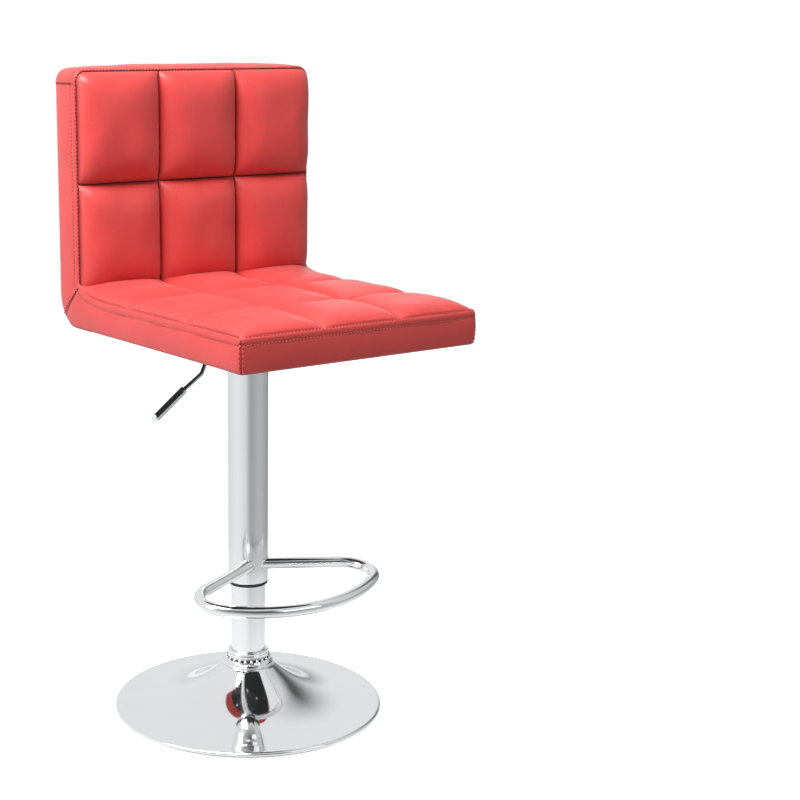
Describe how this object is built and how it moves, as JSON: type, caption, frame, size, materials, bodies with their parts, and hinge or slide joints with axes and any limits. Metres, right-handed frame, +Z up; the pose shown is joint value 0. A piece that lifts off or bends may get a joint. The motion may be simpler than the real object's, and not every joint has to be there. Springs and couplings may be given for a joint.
{
  "type": "adjustable swivel stool",
  "caption": "Height-adjustable swivel bar stool with a quilted L-shaped red seat, chrome column, footrest loop and round trumpet base.",
  "frame": {"origin": "on the floor under the swivel axis, at the middle of the floor pad", "axes": "+Z up along the column; the sitter faces -Y; +X is the sitter's left; the release lever is on the -X side"},
  "size_m": [0.3892, 0.4545, 0.907],
  "materials": {
    "chrome": "mirror polished chrome plating",
    "black_rubber": "matt",
    "cast_iron": "rough cast",
    "zinc_steel": "zinc plated",
    "black_plastic": "fine satin",
    "red_plastic": "moulded",
    "black_steel": "black powder coat",
    "plywood": "raw plywood",
    "foam": "open foam",
    "red_leather": "soft satin synthetic leather",
    "black_cloth": "non-woven cloth"
  },
  "bodies": {
    "base": {"floor_pad": "black_rubber", "base_dish": "chrome", "ballast_plate": "cast_iron", "column_flange": "zinc_steel", "flange_bolts": "zinc_steel", "pedestal_tube": "chrome", "guide_bush": "black_plastic", "bearing_race_lower": "zinc_steel", "bearing_balls": "zinc_steel", "ball_cage": "black_plastic", "trim_collar": "chrome"},
    "rod": {"piston_rod": "chrome", "rod_clip": "zinc_steel", "piston": "zinc_steel", "piston_seal": "black_rubber", "bearing_race_upper": "zinc_steel", "rubber_bumper": "black_rubber"},
    "seat": {"gas_cylinder": "black_steel", "cylinder_gland": "zinc_steel", "cone_hub": "zinc_steel", "cover_tube": "chrome", "tube_ring": "black_plastic", "tube_adapter": "zinc_steel", "footrest_loop": "chrome", "footrest_welds": "chrome", "seat_plate": "black_steel", "lever_bracket": "black_steel", "lever_pin": "zinc_steel", "plate_bolts": "zinc_steel", "plate_washers": "zinc_steel", "tee_nuts": "zinc_steel", "dust_cover": "black_cloth", "seat_board": "plywood", "back_board": "plywood", "corner_irons": "zinc_steel", "corner_screws": "zinc_steel", "seat_foam": "foam", "back_foam": "foam", "seat_panel": "red_leather", "back_panel": "red_leather", "side_band": "red_leather", "rear_cover": "red_leather"},
    "button": {"release_button": "red_plastic"},
    "lever": {"lever_rod": "zinc_steel", "lever_grip": "chrome"}
  },
  "joints": [
    {"name": "swivel", "type": "hinge", "parent": "base", "child": "rod", "pos_m": [0, 0, 0.02], "axis": [0, 0, 1], "continuous": true},
    {"name": "height", "type": "slide", "parent": "rod", "child": "seat", "axis": [0, 0, 1], "range_m": [0, 0.2]},
    {"name": "release_lever", "type": "hinge", "parent": "seat", "child": "lever", "pos_m": [-0.02819, -0.01026, 0.541], "axis": [-0.342, 0.9397, 0], "range_deg": [0, 5], "stiffness_Nm_per_rad": 1, "springref_deg": -1.15},
    {"name": "release_button", "type": "slide", "parent": "seat", "child": "button", "axis": [0, 0, -1], "range_m": [0, 0.003]}
  ],
  "couplings": [
    {"joint": "release_button", "follows": "release_lever", "m_per_rad": 0.034}
  ]
}
